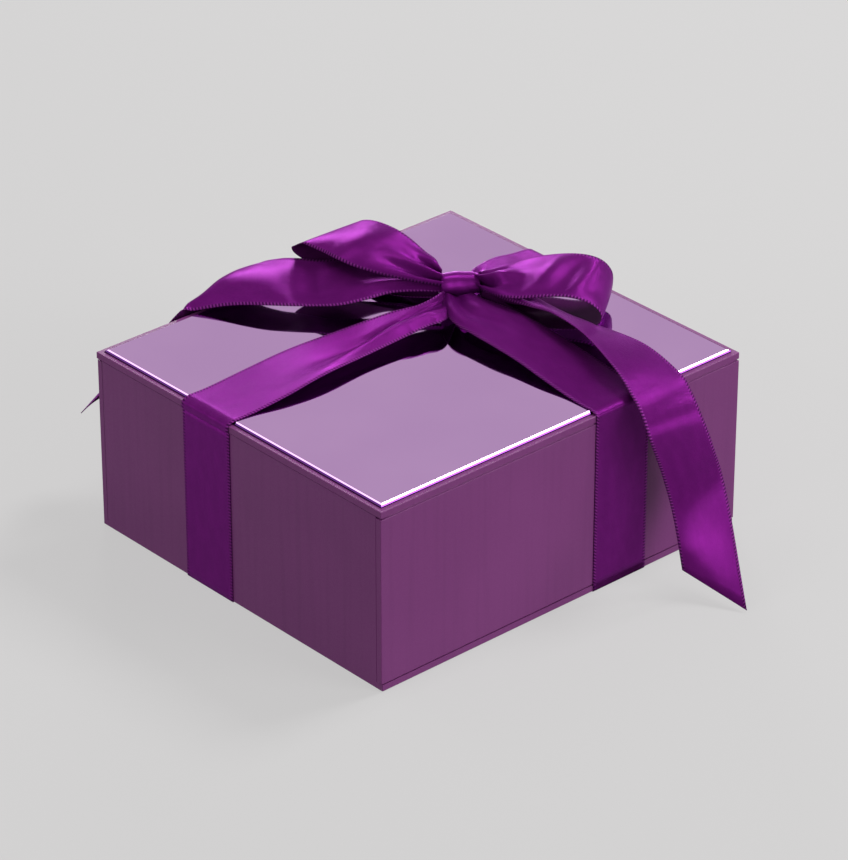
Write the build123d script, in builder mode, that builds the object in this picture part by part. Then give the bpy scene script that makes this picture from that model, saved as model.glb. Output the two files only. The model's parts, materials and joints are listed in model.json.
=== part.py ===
from build123d import *
import os
from math import atan2, degrees

os.makedirs("parts", exist_ok=True)

# Driving sizes of the box, in millimetres. X runs side to side, Y front to back, Z up from the table
width = 169.0
depth = 152.0
box_height = 70.2
board = 2.0
paper = 0.2
lid_overhang = 0.4
flap_gap = 0.4
flap_lift = 0.3
lid_lift = 0.3
hinge_gap = 0.6
edge_round = 0.3
turn_in = 12.0
overrun = 5.0

# The mirrored plate on the lid
plate = 1.0
plate_margin = 2.1
bevel_width = 1.1
bevel_height = 0.6

# The closing magnets and the steel discs they pull on
magnet_radius = 5.0
magnet_thickness = 1.0
magnet_clearance = 0.1
magnet_spacing = 90.0
magnet_rise = 22.0
keeper_thickness = 0.8

# The insert: two layers of slotted dividers with a card between them
divider = 1.0
divider_clearance = 0.3
slot_clearance = 0.1
columns = 4
rows = 4
layer_card = 1.5
finger_radius = 11.0

# The padded panel glued under the lid
pad_thickness = 4.6
pad_clearance = 1.9
pad_crown = 1.2
pad_margin = 7.0
pad_corner = 6.0
pad_drawn_in = 1.5

# The ribbon: its cut, where each band goes round the box, and the breaks at the two fold lines
ribbon_width = 25.0
ribbon_thickness = 0.4
front_band_x = 27.0
left_band_y = 15.4
right_band_y = 18.8
ribbon_break = 0.9
tail_break = 3.0

# The bow
knot_x = 33.9
knot_y = 15.0
knot_height = 8.4
knot_radius = 4.7
knot_end_radius = 3.9
knot_length = 14.0
knot_shoulder = 3.0
knot_turn = -38.3
loop_reach = 47.0

# Levels and faces that follow from the sizes above
panel = board + 3 * paper
thin_panel = board + 2 * paper
base_bottom = ribbon_thickness
base_top = base_bottom + thin_panel
lid_top = base_bottom + box_height
lid_bottom = lid_top - panel
plate_top = lid_top + plate
half_width = width / 2
half_depth = depth / 2
side = half_width - lid_overhang
flap_bottom = base_top + flap_lift
flap_top = lid_bottom - hinge_gap
tray_front = -half_depth + panel + flap_gap
tray_back = half_depth - thin_panel
tray_top = lid_bottom - lid_lift
tray_floor = base_top + board + paper
inner_side = side - board - 2 * paper
inner_front = tray_front + board + 2 * paper
inner_back = tray_back - board - 2 * paper
divider_height = (lid_bottom - pad_thickness - pad_clearance - tray_floor - layer_card) / 2
card_bottom = tray_floor + divider_height
card_top = card_bottom + layer_card


def block(low, high, mode=Mode.ADD):
    """A straight-sided block between two corners, in the part being built."""
    corner, far_corner = Vector(*low), Vector(*high)
    middle = (corner + far_corner) / 2
    size = far_corner - corner
    with BuildSketch(Plane.XY.offset(corner.Z)) as footprint:
        with Locations((middle.X, middle.Y)):
            Rectangle(size.X, size.Y)
    extrude(footprint.sketch, amount=size.Z, mode=mode)


def finish(built, name):
    """Names a finished piece and writes it."""
    built.part.label = name
    export_step(built.part, f"parts/{name}.step")


# The lid: its board, the paper wrapped over it and turned in, and the sheet that lines it
lid_board_low = (-half_width + paper, -half_depth + paper, lid_top - paper - board)
lid_board_high = (half_width - paper, half_depth - paper, lid_top - paper)
with BuildPart() as lid_board:
    block(lid_board_low, lid_board_high)
finish(lid_board, "lid_board")

with BuildPart() as lid_cover:
    block((-half_width, -half_depth, lid_bottom + paper), (half_width, half_depth, lid_top))
    fillet(lid_cover.edges().filter_by(Axis.Z) + lid_cover.faces().sort_by(Axis.Z)[-1].edges(), edge_round)
    block(lid_board_low, lid_board_high, mode=Mode.SUBTRACT)
    block(
        (-half_width + turn_in, -half_depth + turn_in, lid_bottom - overrun),
        (half_width - turn_in, half_depth - turn_in, lid_top - paper - board),
        mode=Mode.SUBTRACT,
    )
finish(lid_cover, "lid_cover")

liner_inset = board
with BuildPart() as lid_liner:
    block(
        (-half_width + liner_inset, -half_depth + liner_inset, lid_bottom),
        (half_width - liner_inset, half_depth - liner_inset, lid_bottom + paper),
    )
finish(lid_liner, "lid_liner")

plate_half_x = half_width - plate_margin
plate_half_y = half_depth - plate_margin
with BuildPart() as mirror_plate:
    block((-plate_half_x, -plate_half_y, lid_top), (plate_half_x, plate_half_y, plate_top - bevel_height))
    with BuildSketch(Plane.XY.offset(plate_top - bevel_height)):
        Rectangle(2 * plate_half_x, 2 * plate_half_y)
    extrude(amount=bevel_height, taper=degrees(atan2(bevel_width, bevel_height)))
finish(mirror_plate, "mirror_plate")

# The padded panel: flat where it is glued to the liner, crowned below, with drawn-in sides
pad_half_x = inner_side - pad_margin
pad_front = inner_front + pad_margin
pad_back = inner_back - pad_margin
pad_middle_y = (pad_front + pad_back) / 2
pad_half_y = (pad_back - pad_front) / 2
pad_levels = (
    (lid_bottom, pad_drawn_in),
    (lid_bottom - pad_thickness / 2, 0),
    (lid_bottom - pad_thickness, pad_drawn_in),
)
with BuildPart() as lid_pad:
    for level, drawn_in in pad_levels:
        with BuildSketch(Plane.XY.offset(level)):
            with Locations((0, pad_middle_y)):
                RectangleRounded(2 * (pad_half_x - drawn_in), 2 * (pad_half_y - drawn_in), pad_corner)
    loft(ruled=True)
    fillet(lid_pad.faces().sort_by(Axis.Z)[0].edges(), pad_crown)
finish(lid_pad, "lid_pad")

# The front flap, with pockets for its magnets in the inner side of its board
flap_inner = -half_depth + paper + board
flap_board_low = (-half_width + paper, -half_depth + paper, flap_bottom + paper)
flap_board_high = (half_width - paper, flap_inner, flap_top - paper)
magnet_places = [(x, base_top + magnet_rise) for x in (-magnet_spacing / 2, magnet_spacing / 2)]


def discs(face_y, radius, thickness, mode=Mode.ADD):
    """A pair of discs let in flush with an upright face, from that face towards the front."""
    with BuildSketch(Plane.XZ.offset(-face_y)) as outlines:
        with Locations(*magnet_places):
            Circle(radius)
    extrude(outlines.sketch, amount=thickness, mode=mode)


with BuildPart() as flap_board:
    block(flap_board_low, flap_board_high)
    discs(flap_inner, magnet_radius + magnet_clearance, magnet_thickness, mode=Mode.SUBTRACT)
finish(flap_board, "flap_board")

with BuildPart() as flap_magnets:
    discs(flap_inner, magnet_radius, magnet_thickness)
finish(flap_magnets, "flap_magnets")

with BuildPart() as flap_cover:
    block((-half_width, -half_depth, flap_bottom), (half_width, flap_inner + paper, flap_top))
    front_face = flap_cover.faces().sort_by(Axis.Y)[0]
    fillet(front_face.edges() + flap_cover.edges().filter_by(Axis.Y), edge_round)
    block(flap_board_low, flap_board_high, mode=Mode.SUBTRACT)
    block(
        (-half_width + turn_in, flap_inner, flap_bottom + turn_in),
        (half_width - turn_in, flap_inner + overrun, flap_top - turn_in),
        mode=Mode.SUBTRACT,
    )
finish(flap_cover, "flap_cover")

with BuildPart() as flap_liner:
    block(
        (-half_width + liner_inset, flap_inner + paper, flap_bottom + liner_inset),
        (half_width - liner_inset, flap_inner + 2 * paper, flap_top - liner_inset),
    )
finish(flap_liner, "flap_liner")

# The base and the spine: two boards in one wrapped sheet
base_board_low = (-side + paper, -half_depth + paper, base_bottom + paper)
base_board_high = (side - paper, half_depth - paper, base_top - paper)
spine_board_low = (-side + paper, tray_back + paper, base_top)
spine_board_high = (side - paper, half_depth - paper, lid_bottom - hinge_gap - paper)
with BuildPart() as base_board:
    block(base_board_low, base_board_high)
finish(base_board, "base_board")

with BuildPart() as spine_board:
    block(spine_board_low, spine_board_high)
finish(spine_board, "spine_board")

with BuildPart() as case_cover:
    block((-side, -half_depth, base_bottom), (side, half_depth, base_top))
    block((-side, tray_back, base_bottom), (side, half_depth, lid_bottom - hinge_gap))
    back_edges = case_cover.edges().filter_by(Axis.Z).group_by(Axis.Y)
    fillet(back_edges[0] + back_edges[-1], edge_round)
    block(base_board_low, base_board_high, mode=Mode.SUBTRACT)
    block(spine_board_low, spine_board_high, mode=Mode.SUBTRACT)
    block(
        (-side + turn_in, -half_depth + turn_in, base_top - paper),
        (side - turn_in, tray_back, base_top + overrun),
        mode=Mode.SUBTRACT,
    )
    block(
        (-side + turn_in, tray_back - overrun, base_top),
        (side - turn_in, tray_back + paper, lid_bottom - hinge_gap - turn_in),
        mode=Mode.SUBTRACT,
    )
finish(case_cover, "case_cover")

# The tray: one folded board, wrapped outside and over the rim, and lined inside
keeper_face = tray_front + paper
with BuildPart() as tray_board:
    block((-side + paper, keeper_face, base_top), (side - paper, tray_back - paper, tray_top - paper))
    block(
        (-inner_side - paper, inner_front - paper, base_top + board),
        (inner_side + paper, inner_back + paper, tray_top + overrun),
        mode=Mode.SUBTRACT,
    )
    discs(keeper_face + keeper_thickness, magnet_radius + magnet_clearance, keeper_thickness, mode=Mode.SUBTRACT)
finish(tray_board, "tray_board")

with BuildPart() as keeper_discs:
    discs(keeper_face + keeper_thickness, magnet_radius, keeper_thickness)
finish(keeper_discs, "keeper_discs")

with BuildPart() as tray_wrap:
    block((-side, tray_front, base_top), (side, tray_back, tray_top))
    fillet(tray_wrap.edges().filter_by(Axis.Z), edge_round)
    block(
        (-side + paper, tray_front + paper, base_top - overrun),
        (side - paper, tray_back - paper, tray_top - paper),
        mode=Mode.SUBTRACT,
    )
    block(
        (-inner_side - paper, inner_front - paper, base_top),
        (inner_side + paper, inner_back + paper, tray_top + overrun),
        mode=Mode.SUBTRACT,
    )
    block(
        (-inner_side - paper, inner_front - paper, tray_top - turn_in),
        (inner_side + paper, inner_back + paper, tray_top),
    )
    block(
        (-inner_side, inner_front, base_top),
        (inner_side, inner_back, tray_top + overrun),
        mode=Mode.SUBTRACT,
    )
finish(tray_wrap, "tray_wrap")

with BuildPart() as tray_liner:
    block(
        (-inner_side - paper, inner_front - paper, base_top + board),
        (inner_side + paper, inner_back + paper, tray_top - turn_in),
    )
    block(
        (-inner_side, inner_front, tray_floor),
        (inner_side, inner_back, tray_top + overrun),
        mode=Mode.SUBTRACT,
    )
finish(tray_liner, "tray_liner")

# The dividers: strips that cross in half-lap slots, the same in both layers
inner_width = 2 * inner_side
inner_depth = inner_back - inner_front
inner_middle_y = (inner_front + inner_back) / 2
cell_x = inner_width / columns
cell_y = inner_depth / rows
long_places = [inner_front + cell_y * row for row in range(1, rows)]
cross_places = [-inner_side + cell_x * column for column in range(1, columns)]
slot_width = divider + 2 * slot_clearance
slot_depth = divider_height / 2 + slot_clearance
for layer, foot in (("lower", tray_floor), ("upper", card_top)):
    for number, y in enumerate(long_places, 1):
        with BuildPart() as strip:
            block(
                (-inner_side + divider_clearance, y - divider / 2, foot),
                (inner_side - divider_clearance, y + divider / 2, foot + divider_height),
            )
            for x in cross_places:
                block(
                    (x - slot_width / 2, y - divider, foot + divider_height - slot_depth),
                    (x + slot_width / 2, y + divider, foot + divider_height + overrun),
                    mode=Mode.SUBTRACT,
                )
        finish(strip, f"{layer}_long_divider_{number}")
    for number, x in enumerate(cross_places, 1):
        with BuildPart() as strip:
            block(
                (x - divider / 2, inner_front + divider_clearance, foot),
                (x + divider / 2, inner_back - divider_clearance, foot + divider_height),
            )
            for y in long_places:
                block(
                    (x - divider, y - slot_width / 2, foot - overrun),
                    (x + divider, y + slot_width / 2, foot + slot_depth),
                    mode=Mode.SUBTRACT,
                )
        finish(strip, f"{layer}_cross_divider_{number}")

with BuildPart() as card:
    block(
        (-inner_side + divider_clearance, inner_front + divider_clearance, card_bottom),
        (inner_side - divider_clearance, inner_back - divider_clearance, card_top),
    )
    with BuildSketch(Plane.XY.offset(card_bottom - overrun)):
        with Locations((-inner_side, inner_middle_y), (inner_side, inner_middle_y)):
            Circle(finger_radius)
    extrude(amount=layer_card + 2 * overrun, mode=Mode.SUBTRACT)
finish(card, "layer_card")

# The ribbon under the box and up its sides. The lengths under the box cross and press flat
half_ribbon = ribbon_width / 2
band_top = lid_bottom - ribbon_break
with BuildPart() as ribbon_under:
    reach = side + ribbon_thickness
    back_reach = half_depth + ribbon_thickness
    with BuildSketch():
        with BuildLine():
            Polyline(
                (-reach, left_band_y - half_ribbon),
                (reach, right_band_y - half_ribbon),
                (reach, right_band_y + half_ribbon),
                (-reach, left_band_y + half_ribbon),
                close=True,
            )
        make_face()
        with Locations((front_band_x, 0)):
            Rectangle(ribbon_width, 2 * back_reach)
    extrude(amount=ribbon_thickness)
    block(
        (front_band_x - half_ribbon, -back_reach, 0),
        (front_band_x + half_ribbon, -half_depth, base_top),
    )
finish(ribbon_under, "ribbon_under")

with BuildPart() as ribbon_left:
    block(
        (-side - ribbon_thickness, left_band_y - half_ribbon, base_bottom),
        (-side, left_band_y + half_ribbon, band_top),
    )
finish(ribbon_left, "ribbon_left")

with BuildPart() as ribbon_right:
    block(
        (side, right_band_y - half_ribbon, base_bottom),
        (side + ribbon_thickness, right_band_y + half_ribbon, band_top),
    )
finish(ribbon_right, "ribbon_right")

with BuildPart() as ribbon_back:
    block(
        (front_band_x - half_ribbon, half_depth, base_bottom),
        (front_band_x + half_ribbon, half_depth + ribbon_thickness, band_top),
    )
finish(ribbon_back, "ribbon_back")

with BuildPart() as ribbon_front:
    block(
        (front_band_x - half_ribbon, -half_depth - ribbon_thickness, flap_bottom),
        (front_band_x + half_ribbon, -half_depth, band_top),
    )
finish(ribbon_front, "ribbon_front")

# The knot: a short length of ribbon drawn tight round the middle of the bow, waisted at its ends
knot_centre = Vector(knot_x, knot_y, plate_top + knot_height)
bow_line = Vector(1, 0, 0).rotate(Axis.Z, knot_turn)
bow_side = Vector(0, 1, 0).rotate(Axis.Z, knot_turn)
upright = Vector(0, 0, 1)
with BuildPart() as knot:
    with BuildSketch(Plane(origin=knot_centre, x_dir=bow_line, z_dir=bow_line.cross(upright))):
        with BuildLine():
            half_knot = knot_length / 2
            Polyline(
                (-half_knot, 0),
                (-half_knot, knot_end_radius),
                (-knot_shoulder, knot_radius),
                (knot_shoulder, knot_radius),
                (half_knot, knot_end_radius),
                (half_knot, 0),
                close=True,
            )
        make_face()
    revolve(axis=Axis(knot_centre, bow_line))
finish(knot, "knot")


def near_knot(along_share, side_share, height_share):
    """A point beside the knot, in shares of its half length and its radius."""
    return (
        knot_centre
        + bow_line * (along_share * knot_length / 2)
        + bow_side * (side_share * knot_radius)
        + upright * (height_share * knot_radius)
    )


def curve_point(before, first, second, after, share):
    """A point on the smooth curve from first to second, a share of the way along."""
    square, cube = share**2, share**3
    return (
        before * (-share + 2 * square - cube)
        + first * (2 - 5 * square + 3 * cube)
        + second * (share + 4 * square - 3 * cube)
        + after * (cube - square)
    ) / 2


def smooth(points):
    """More points on a smooth curve through the given ones."""
    ends = [points[0], *points, points[-1]]
    curve = []
    for number in range(len(points) - 1):
        for step in range(ribbon_steps):
            curve.append(curve_point(*ends[number : number + 4], step / ribbon_steps))
    return [*curve, points[-1]]


def facet(*corners):
    """A flat face between three or four corners."""
    return Face(Wire.make_polygon(corners))


def lay_ribbon(edges):
    """Builds a length of ribbon in small flat facets between its two edges, given as pairs of points."""
    near_edge = smooth([near for near, far in edges])
    far_edge = smooth([far for near, far in edges])
    middles = [(near + far) / 2 for near, far in zip(near_edge, far_edge)]
    sections = []
    for number, (near, far) in enumerate(zip(near_edge, far_edge)):
        run = middles[min(number + 1, len(middles) - 1)] - middles[max(number - 1, 0)]
        lift = (far - near).cross(run).normalized() * (ribbon_thickness / 2)
        sections.append((near - lift, far - lift, far + lift, near + lift))
    facets = [facet(*sections[0]), facet(*sections[-1])]
    for first, second in zip(sections, sections[1:]):
        for corner, next_corner in ((0, 1), (3, 2), (0, 3), (1, 2)):
            facets.append(facet(first[corner], first[next_corner], second[corner]))
            facets.append(facet(first[next_corner], second[next_corner], second[corner]))
    add(Solid(Shell(facets)))


def edge_pair(middle, across, width_share):
    """The two edge points of the ribbon at a place, where it is drawn in to a share of its width."""
    reach_across = across.normalized() * (ribbon_width * width_share / 2)
    return middle - reach_across, middle + reach_across


# The four arms, from the knot over the plate to the lid's edges. Each row of a table is a share of
# the way out from the knot, a share of the knot's height and a share of the ribbon's width
gathered_share = 0.3
ribbon_steps = 3
arm_height_shares = ((0.22, 0.62, 0.55), (0.42, 0.42, 0.85), (0.68, 0.18, 1.0))
arm_top = plate_top + ribbon_thickness / 2
corner_run = bevel_width + plate_margin + board


def arm(name, outward, edge, centre_line, knot_share):
    """An arm that runs outward, a unit vector, to an edge that far from the middle of the box."""
    sideways = upright.cross(outward)
    start = near_knot(*knot_share)
    start_out = start.dot(outward)
    start_side = start.dot(sideways)
    end_out = edge - corner_run
    edges = [edge_pair(start, sideways, gathered_share)]
    for out_share, height_share, width_share in arm_height_shares:
        place = (
            outward * (start_out + (end_out - start_out) * out_share)
            + sideways * (start_side + (centre_line - start_side) * out_share**0.5)
            + upright * (arm_top + (start.Z - arm_top) * height_share)
        )
        edges.append(edge_pair(place, sideways, width_share))
    edges.append(edge_pair(outward * end_out + sideways * centre_line + upright * arm_top, sideways, 1))
    top_of_bevel = edge - plate_margin - bevel_width
    with BuildPart() as built:
        lay_ribbon(edges)
        with BuildSketch(Plane(origin=sideways * (centre_line - half_ribbon), x_dir=outward, z_dir=-sideways)):
            with BuildLine():
                Polyline(
                    (end_out, plate_top),
                    (top_of_bevel, plate_top),
                    (edge, lid_top),
                    (edge, lid_bottom),
                    (edge + ribbon_thickness, lid_bottom),
                    (edge + ribbon_thickness, lid_top + ribbon_thickness / 2),
                    (top_of_bevel, plate_top + ribbon_thickness),
                    (end_out, plate_top + ribbon_thickness),
                    close=True,
                )
            make_face()
        extrude(amount=-ribbon_width)
        add(knot.part, mode=Mode.SUBTRACT)
    finish(built, name)


arm("ribbon_arm_left", Vector(-1, 0, 0), half_width, -left_band_y, (-0.6, -0.85, -0.6))
arm("ribbon_arm_front", Vector(0, -1, 0), half_depth, front_band_x, (0.5, -0.8, -0.7))
arm("ribbon_arm_right", Vector(1, 0, 0), half_width, right_band_y, (0.6, 0.85, -0.6))
arm("ribbon_arm_back", Vector(0, 1, 0), half_depth, -front_band_x, (-0.6, 0.75, -0.6))


# The loops. Each row is a place from the knot in shares of the loop's reach, the direction across
# the ribbon there, and a share of the ribbon's width
left_loop_shares = (
    ((-0.18, 0.36, 0.20), (0.9, 0.3, 0.20), 0.70),
    ((-0.32, 0.74, 0.27), (0.85, -0.35, 0.33), 0.96),
    ((-0.45, 0.99, 0.25), (0.80, -0.48, 0.34), 1.0),
    ((-0.49, 1.07, 0.18), (0.80, -0.48, 0.34), 1.0),
    ((-0.45, 0.99, 0.10), (0.80, -0.48, 0.34), 1.0),
    ((-0.30, 0.72, 0.10), (0.85, -0.35, 0.25), 0.96),
    ((-0.17, 0.37, 0.09), (0.9, 0.3, 0.10), 0.70),
)
right_loop_shares = (
    ((0.24, -0.26, 0.17), (0.75, 0.6, 0.12), 0.70),
    ((0.47, -0.58, 0.21), (0.74, 0.6, 0.28), 0.96),
    ((0.66, -0.82, 0.14), (0.73, 0.56, 0.38), 1.0),
    ((0.71, -0.90, 0.04), (0.73, 0.56, 0.38), 1.0),
    ((0.66, -0.82, -0.05), (0.73, 0.56, 0.38), 1.0),
    ((0.45, -0.58, -0.08), (0.74, 0.6, 0.20), 0.96),
    ((0.24, -0.29, -0.07), (0.75, 0.6, 0.08), 0.70),
)


def loop(name, rows, along_share, leaving_share, returning_share):
    """A loop of the bow: out of the knot's end, round its bend and back in below."""
    start = near_knot(along_share, 0, leaving_share)
    end = near_knot(along_share, 0, returning_share)
    edges = [edge_pair(start, bow_side, gathered_share)]
    for place, across, width_share in rows:
        edges.append(edge_pair(knot_centre + Vector(*place) * loop_reach, Vector(*across), width_share))
    edges.append(edge_pair(end, bow_side, gathered_share))
    with BuildPart() as built:
        lay_ribbon(edges)
        add(knot.part, mode=Mode.SUBTRACT)
    finish(built, name)


loop("loop_left", left_loop_shares, -0.9, 0.55, 0.15)
loop("loop_right", right_loop_shares, 0.9, 0.55, -0.4)

# The tails. Each row is the two edges of the ribbon, in shares of the half width, half depth and
# lid height, because a tail hangs over the box's own edges
right_tail_shares = (
    ((0.385, -0.330, 1.255), (0.510, -0.170, 1.175)),
    ((0.335, -0.720, 1.245), (0.545, -0.550, 1.165)),
    ((0.370, -0.930, 1.105), (0.615, -0.870, 1.085)),
    ((0.400, -1.003, 1.010), (0.680, -1.003, 1.010)),
    ((0.407, -1.037, 0.989), (0.688, -1.037, 0.990)),
    ((0.410, -1.060, 0.953), (0.692, -1.060, 0.955)),
    ((0.415, -1.073, 0.895), (0.698, -1.077, 0.905)),
    ((0.430, -1.085, 0.790), (0.712, -1.100, 0.830)),
    ((0.475, -1.115, 0.590), (0.745, -1.150, 0.660)),
    ((0.490, -1.170, 0.380), (0.720, -1.290, 0.440)),
    ((0.450, -1.280, 0.110), (0.545, -1.600, 0.006)),
)
left_tail_shares = (
    ((0.165, 0.340, 1.090), (0.165, 0.580, 1.130)),
    ((-0.060, 0.460, 1.100), (-0.050, 0.750, 1.240)),
    ((-0.167, 0.624, 1.067), (-0.148, 0.876, 1.222)),
    ((-0.243, 0.770, 1.045), (-0.237, 0.934, 1.198)),
    ((-0.337, 0.905, 1.028), (-0.337, 0.991, 1.142)),
    ((-0.430, 0.985, 1.020), (-0.455, 1.050, 1.045)),
    ((-0.505, 1.015, 0.905), (-0.620, 1.118, 0.880)),
    ((-0.556, 1.033, 0.660), (-0.746, 1.158, 0.737)),
    ((-0.710, 1.079, 0.385), (-0.947, 1.207, 0.553)),
)


def tail_edges(start, rows):
    """The two edges of a tail, from the knot to its cut end."""
    edges = [edge_pair(start, bow_side, gathered_share)]
    for near_shares, far_shares in rows:
        edges.append(
            [Vector(x * half_width, y * half_depth, z * lid_top) for x, y, z in (near_shares, far_shares)]
        )
    return edges


def tail(name, start, rows, kept_above, kept_below):
    """A tail in two lengths, parted at the level of the fold that it hangs over."""
    for part_name, cut_low, cut_high in (
        (f"{name}_over_lid", -overrun, kept_above),
        (f"{name}_hanging", kept_below, 2 * lid_top),
    ):
        with BuildPart() as built:
            lay_ribbon(tail_edges(start, rows))
            block((-width, -2 * depth, cut_low), (width, 2 * depth, cut_high), mode=Mode.SUBTRACT)
            add(knot.part, mode=Mode.SUBTRACT)
        finish(built, part_name)


tail("right_tail", near_knot(0.9, 0, 0.1), right_tail_shares, lid_bottom + hinge_gap, lid_bottom - hinge_gap)
tail("left_tail", near_knot(-0.9, 0, -0.3), left_tail_shares, lid_top, lid_bottom - tail_break)
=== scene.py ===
"""The looks of a rigid chocolate box: plum paper, a purple mirrored lid plate and a tied satin ribbon."""

import bpy
import bmesh
import json
from math import cos, pi, radians, sin, tau
from mathutils import Matrix, Vector, noise


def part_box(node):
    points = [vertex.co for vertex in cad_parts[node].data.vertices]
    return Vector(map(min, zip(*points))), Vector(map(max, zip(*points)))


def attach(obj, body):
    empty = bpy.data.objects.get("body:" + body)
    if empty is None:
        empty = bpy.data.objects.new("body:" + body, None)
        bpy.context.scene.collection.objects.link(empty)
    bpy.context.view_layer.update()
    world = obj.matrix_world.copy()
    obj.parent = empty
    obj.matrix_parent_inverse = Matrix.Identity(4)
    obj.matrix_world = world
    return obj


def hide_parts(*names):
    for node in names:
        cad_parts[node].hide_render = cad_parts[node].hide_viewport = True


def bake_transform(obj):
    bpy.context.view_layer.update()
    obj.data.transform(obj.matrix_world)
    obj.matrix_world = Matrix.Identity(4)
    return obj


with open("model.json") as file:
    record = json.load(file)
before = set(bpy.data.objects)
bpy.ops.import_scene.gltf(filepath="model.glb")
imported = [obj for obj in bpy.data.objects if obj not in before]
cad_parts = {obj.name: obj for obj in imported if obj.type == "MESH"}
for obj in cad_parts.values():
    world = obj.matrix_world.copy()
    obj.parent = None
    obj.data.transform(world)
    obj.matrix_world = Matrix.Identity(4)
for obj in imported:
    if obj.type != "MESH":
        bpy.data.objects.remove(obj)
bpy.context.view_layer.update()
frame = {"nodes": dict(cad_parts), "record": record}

# Sizes and places are in millimetres, and MM brings them to metres
MM = 0.001
RIBBON_WIDTH = 25.0
RIBBON_THICKNESS = 0.4


def extent_of(name):
    """The low and high corners of a solid of the part."""
    return [[round(number / MM, 2) for number in corner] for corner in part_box(name)]


(_, _, LID_TOP), (_, _, PLATE_TOP) = extent_of("mirror_plate")
_, (HALF_WIDTH, HALF_DEPTH, _) = extent_of("lid_cover")
_, (SIDE, _, _) = extent_of("tray_wrap")
(_, _, ARM_END), _ = extent_of("ribbon_arm_front")


# Finishes


class Value:
    """A number, colour or direction that runs through a finish, for use in ordinary sums."""

    def __init__(self, finish, socket):
        self.finish, self.socket = finish, socket

    def sum(self, operation, *values):
        return self.finish.node("ShaderNodeMath", {"operation": operation}, *values)

    def __add__(self, other):
        return self.sum("ADD", self, other)

    def __sub__(self, other):
        return self.sum("SUBTRACT", self, other)

    def __rsub__(self, other):
        return self.sum("SUBTRACT", other, self)

    def __mul__(self, other):
        return self.sum("MULTIPLY", self, other)

    def __abs__(self):
        return self.sum("ABSOLUTE", self)

    __radd__ = __add__
    __rmul__ = __mul__

    def wave(self, pitch, phase=0.0):
        """A sine of this value, from 0 to 1, that repeats every pitch."""
        return self.sum("SINE", self * (tau / pitch) + phase) * 0.5 + 0.5

    def ramp(self, low, high, out_low=0.0, out_high=1.0):
        """This value taken from the range low to high onto another range, smoothly."""
        return self.finish.node(
            "ShaderNodeMapRange",
            {"interpolation_type": "SMOOTHSTEP"},
            self,
            low,
            high,
            out_low,
            out_high,
        )


class Finish:
    """A material, built from the nodes that its sums and calls add."""

    def __init__(self, name):
        self.material = bpy.data.materials.new(name)
        self.material.use_nodes = True
        self.tree = self.material.node_tree
        self.tree.nodes.clear()

    def node(self, kind, settings, *inputs, out=0, **named):
        """Adds a node, with its settings first and then its sockets, by place or by name."""
        made = self.tree.nodes.new(kind)
        for key, setting in settings.items():
            setattr(made, key, setting)
        for key, given in [*enumerate(inputs), *named.items()]:
            if given is None:
                continue
            socket = made.inputs[key.replace("_", " ") if isinstance(key, str) else key]
            if isinstance(given, Value):
                self.tree.links.new(given.socket, socket)
            else:
                socket.default_value = given
        return Value(self, made.outputs[out])

    def place(self):
        """Object coordinates, in metres, as a vector and as its three parts."""
        vector = self.node("ShaderNodeTexCoord", {}, out="Object")
        return vector, self.parts(vector)

    def cloth(self):
        """The cloth's own map: across the ribbon and along it, both in millimetres."""
        across, along, _ = self.parts(self.node("ShaderNodeTexCoord", {}, out="UV"))
        return across * RIBBON_WIDTH, along * RIBBON_WIDTH

    def parts(self, vector):
        """The three parts of a vector."""
        split = self.tree.nodes.new("ShaderNodeSeparateXYZ")
        self.tree.links.new(vector.socket, split.inputs[0])
        return [Value(self, socket) for socket in split.outputs]

    def join(self, x, y):
        """A flat vector from its two parts."""
        return self.node("ShaderNodeCombineXYZ", {}, x, y, 0.0)

    def noise(self, vector, scale, detail=2.0, stretch=None):
        """Soft noise, from 0 to 1, with its detail and how far it is drawn out on each axis."""
        if stretch:
            vector = self.node("ShaderNodeMapping", {}, vector, Scale=stretch)
        return self.node("ShaderNodeTexNoise", {}, Vector=vector, Scale=scale, Detail=detail)

    def mix(self, share, first, second):
        """A colour, a share of the way from the first to the second."""
        unused = [None] * 5
        return self.node("ShaderNodeMix", {"data_type": "RGBA"}, share, *unused, first, second, out=2)

    def bump(self, height, distance, strength):
        return self.node("ShaderNodeBump", {}, Strength=strength, Distance=distance, Height=height)

    def surface(self, **sockets):
        """The finished surface, with its constants and links named by socket."""
        return self.output(self.node("ShaderNodeBsdfPrincipled", {}, **sockets))

    def output(self, shader):
        end = self.tree.nodes.new("ShaderNodeOutputMaterial")
        self.tree.links.new(shader.socket, end.inputs["Surface"])
        return self.material


PAPER_WEAVE = 0.52 * MM


def wrapping_paper(name, colour, streak_colour, streaks, roughness):
    """Satin paper with a very fine weave pressed into it and faint upright streaks."""
    finish = Finish(name)
    vector, (x, y, z) = finish.place()
    streak = finish.noise(vector, 380.0, detail=3.0, stretch=(1.0, 1.0, 0.04))
    cloud = finish.noise(vector, 22.0)
    speck = finish.noise(vector, 2600.0, detail=1.0)
    tone = streak.ramp(0.42, 0.72) * streaks + cloud.ramp(0.35, 0.7) * 0.22 + speck * 0.16
    crossed = (x + y).wave(PAPER_WEAVE) * z.wave(PAPER_WEAVE)
    weave = crossed + (x - y).wave(PAPER_WEAVE, pi / 2) * 0.5
    return finish.surface(
        Base_Color=finish.mix(tone, (*colour, 1.0), (*streak_colour, 1.0)),
        Roughness=speck.ramp(0.3, 0.7, roughness - 0.05, roughness + 0.07),
        Normal=finish.bump(weave * 0.5 + speck, 0.04 * MM, 0.5),
        Specular_IOR_Level=0.3,
    )


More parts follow.
